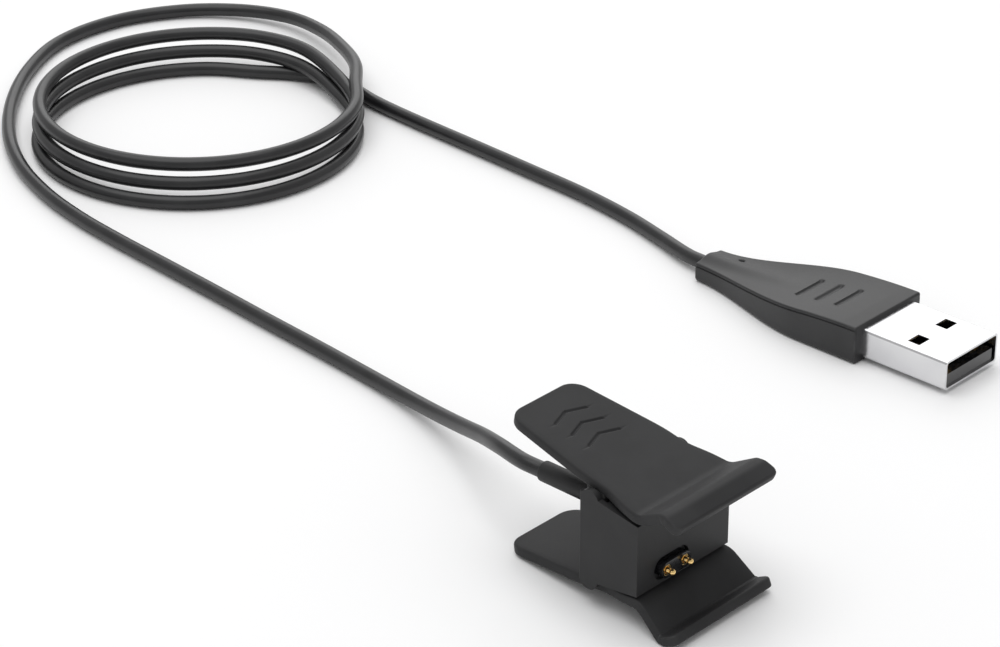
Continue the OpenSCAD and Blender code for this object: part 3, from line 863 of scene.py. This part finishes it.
def mouldRing(sizes, along, inset, length):
    # one row around the mould as (x, z): deck, right side, bottom, left side
    s = along / length
    half = mouldHalf(sizes, s) - inset
    edge, base = sizes["edgeRound"], sizes["bottomRound"]
    deck = []
    for k in range(sizes["deckSteps"] + 1):
        x = (half - edge) * (2 * k / sizes["deckSteps"] - 1)
        deck.append((x, mouldTop(sizes, s, x, half, along) - inset))
    shoulder = mouldTop(sizes, s, half, half, along) - inset - edge
    wallTop = shoulder - sizes["seam"][-1][0]
    wall = wallTop - inset - base
    rightSide = arcPoints(half - edge, shoulder, edge, 90, 0, 4)[1:]
    rightSide += [(half - inward, shoulder - depth) for depth, inward in sizes["seam"]]
    rightSide += [(half, wallTop - wall * k / sizes["wallSteps"]) for k in range(1, sizes["wallSteps"])]
    rightSide += arcPoints(half - base, inset + base, base, 0, -90, 4)
    count = sizes["bottomSteps"]
    bottom = [((half - base) * (1 - 2 * k / count), inset) for k in range(1, count)]
    return deck + rightSide + bottom + [(-x, z) for x, z in reversed(rightSide)]


def mouldMesh(sizes):
    low, high = [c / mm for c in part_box("plug_mould")]
    centre, length = (low.x + high.x) / 2, high.y - low.y
    points = []
    stations = mouldStations(sizes, length)
    for along, inset in stations:
        ring = mouldRing(sizes, along, inset, length)
        points.extend((centre + x, low.y + along, z) for x, z in ring)
    size = len(ring)
    faces = bandFaces(0, len(stations), size)
    faces.append(tuple(range(size)))
    faces.append(tuple(range(len(points) - size, len(points))))
    return meshOf("plugMouldSkin", points, faces)


mouldData = mouldMesh(mouldSizes)
mouldPiece = pieceFromMesh("plugMould", mouldData, "core", "mould", ["plug_mould"], 50)

shellSizes = {"edgeRound": 0.07, "shortEdge": 0.4}
shellData = softened("plug_shell", "plugShellSkin", shellSizes["edgeRound"], shellSizes["shortEdge"])
shellPiece = pieceFromMesh("plugShell", shellData, "core", "shell", ["plug_shell"], 50, True)
print("plug made")


# nodes that stay as they are

keptFinishes = {
    "contact_board": "board",
    "pin_barrel_left": "gold", "pin_barrel_right": "gold",
    "pin_spring_left": "spring", "pin_spring_right": "spring",
    "wire_power": "red", "wire_return": "black",
    "upper_pivot_pin": "spring", "lower_pivot_pin": "spring",
    "upper_spring": "spring", "lower_spring": "spring",
    "plug_core_block": "carrier", "plug_tongue": "carrier",
    "plug_contact_1": "gold", "plug_contact_2": "gold",
    "plug_contact_3": "gold", "plug_contact_4": "gold",
}
for nodeName, finish in keptFinishes.items():
    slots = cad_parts[nodeName].data.materials
    slots.clear()
    slots.append(finishes[finish])
print("kept nodes finished:", len(keptFinishes))


# the plug's pieces, listed

plugPieces = [mouldPiece, shellPiece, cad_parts["plug_core_block"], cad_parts["plug_tongue"]]
plugPieces += [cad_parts["plug_contact_" + str(i)] for i in range(1, 5)]


# floor and light

stageSettings = {
    "floorSize": 6, "floorTone": 0.96, "skyStrength": 0.54,
    "topPower": 16.5, "topSize": 2.0, "topPlace": (-0.15, 0.25, 1.7),
    "backPower": 7.0, "backSize": 1.5, "backPlace": (1.15, 1.05, 0.95),
    "aim": (0.04, 0.08, 0),
    "floorDrop": 0.00003,     # just clear of what lies on it
}


def makeFloor(settings):
    data = bpy.data.meshes.new("floor")
    half = settings["floorSize"] / 2
    corners = [(-half, -half, 0), (half, -half, 0), (half, half, 0), (-half, half, 0)]
    data.from_pydata(corners, [], [(0, 1, 2, 3)])
    floor = bpy.data.objects.new("floor", data)
    bpy.context.scene.collection.objects.link(floor)
    floor.location = (0, 0, -settings["floorDrop"])
    f = Finish("paleFloor")
    cloud = f.noise(3, 2)
    tone = settings["floorTone"]
    colour = f.blendColours(cloud, (tone, tone, tone), (tone * 0.995, tone * 0.995, tone))
    f.set(colour=colour, roughness=0.9, specular=0.1)
    data.materials.append(f.material)


def makeLight(name, place, size, power, aim):
    data = bpy.data.lights.new(name, "AREA")
    data.shape = "DISK"
    data.size = size
    data.energy = power
    light = bpy.data.objects.new(name, data)
    bpy.context.scene.collection.objects.link(light)
    light.location = place
    light.rotation_mode = "QUATERNION"
    light.rotation_quaternion = (Vector(aim) - Vector(place)).to_track_quat("-Z", "Y")


makeFloor(stageSettings)
for which in ("top", "back"):
    makeLight(
        which + "Light", stageSettings[which + "Place"], stageSettings[which + "Size"],
        stageSettings[which + "Power"], stageSettings["aim"],
    )
world = bpy.data.worlds.new("studio")
bpy.context.scene.world = world
world.use_nodes = True
background = world.node_tree.nodes["Background"]
background.inputs["Color"].default_value = (1, 1, 1, 1)
background.inputs["Strength"].default_value = stageSettings["skyStrength"]
bpy.context.scene.view_settings.view_transform = "Standard"
print("stage lit")
